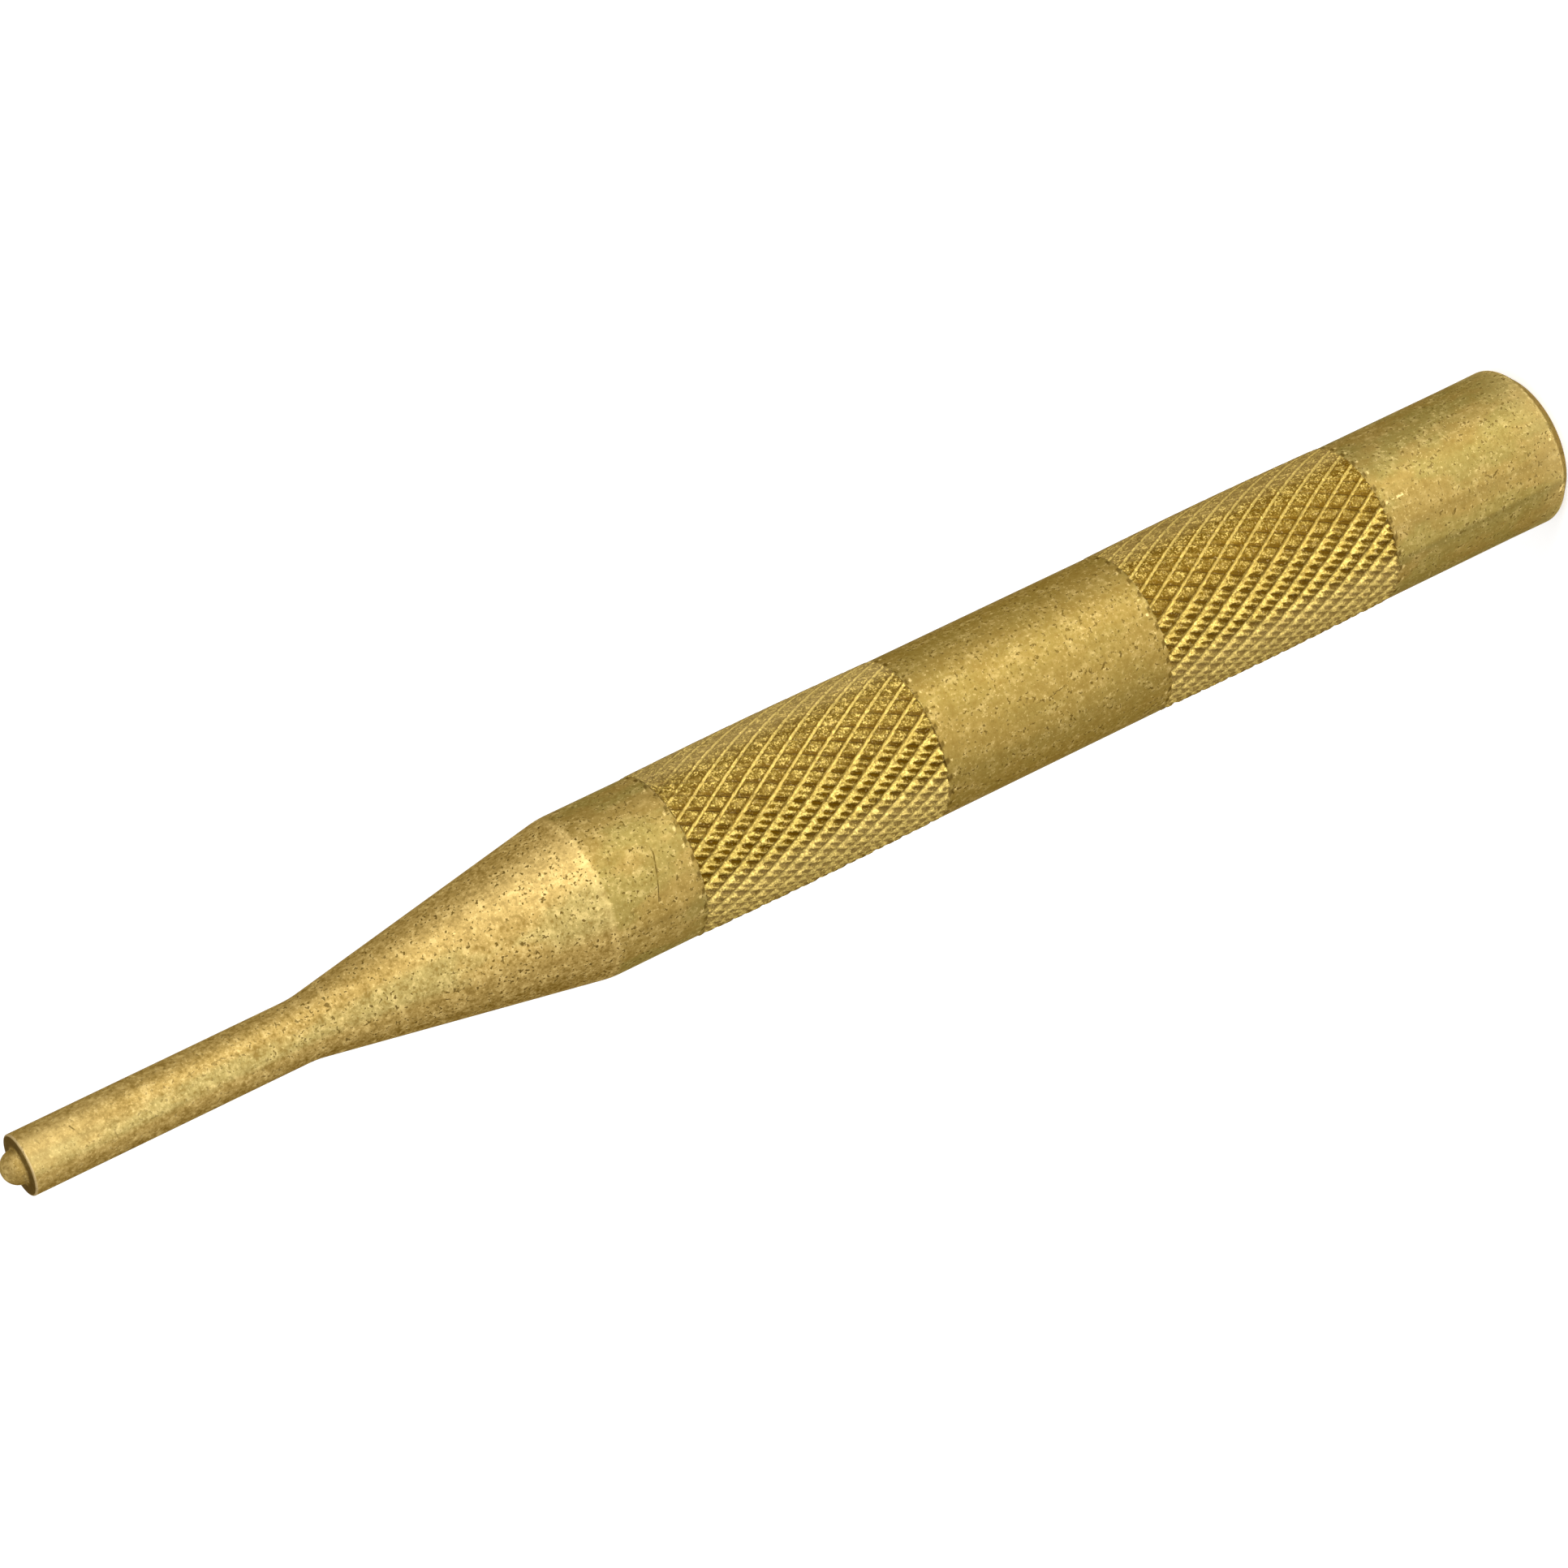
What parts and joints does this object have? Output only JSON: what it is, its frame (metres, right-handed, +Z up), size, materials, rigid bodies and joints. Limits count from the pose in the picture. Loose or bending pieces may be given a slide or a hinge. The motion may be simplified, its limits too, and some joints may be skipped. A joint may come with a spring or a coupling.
{
  "type": "pilot punch",
  "caption": "Solid brass pilot punch: domed nose on a straight pin, a taper and diamond-knurled grips, for driving hollow spring pins.",
  "frame": {"origin": "centre of the struck head face, on which the punch stands", "axes": "+Z up the axis of the bar, from the head to the pilot nose"},
  "size_m": [0.011, 0.0108, 0.1124],
  "materials": {
    "brass": "satin, mottled bare metal"
  },
  "bodies": {
    "root": {"pilot_punch": "brass"}
  },
  "joints": []
}
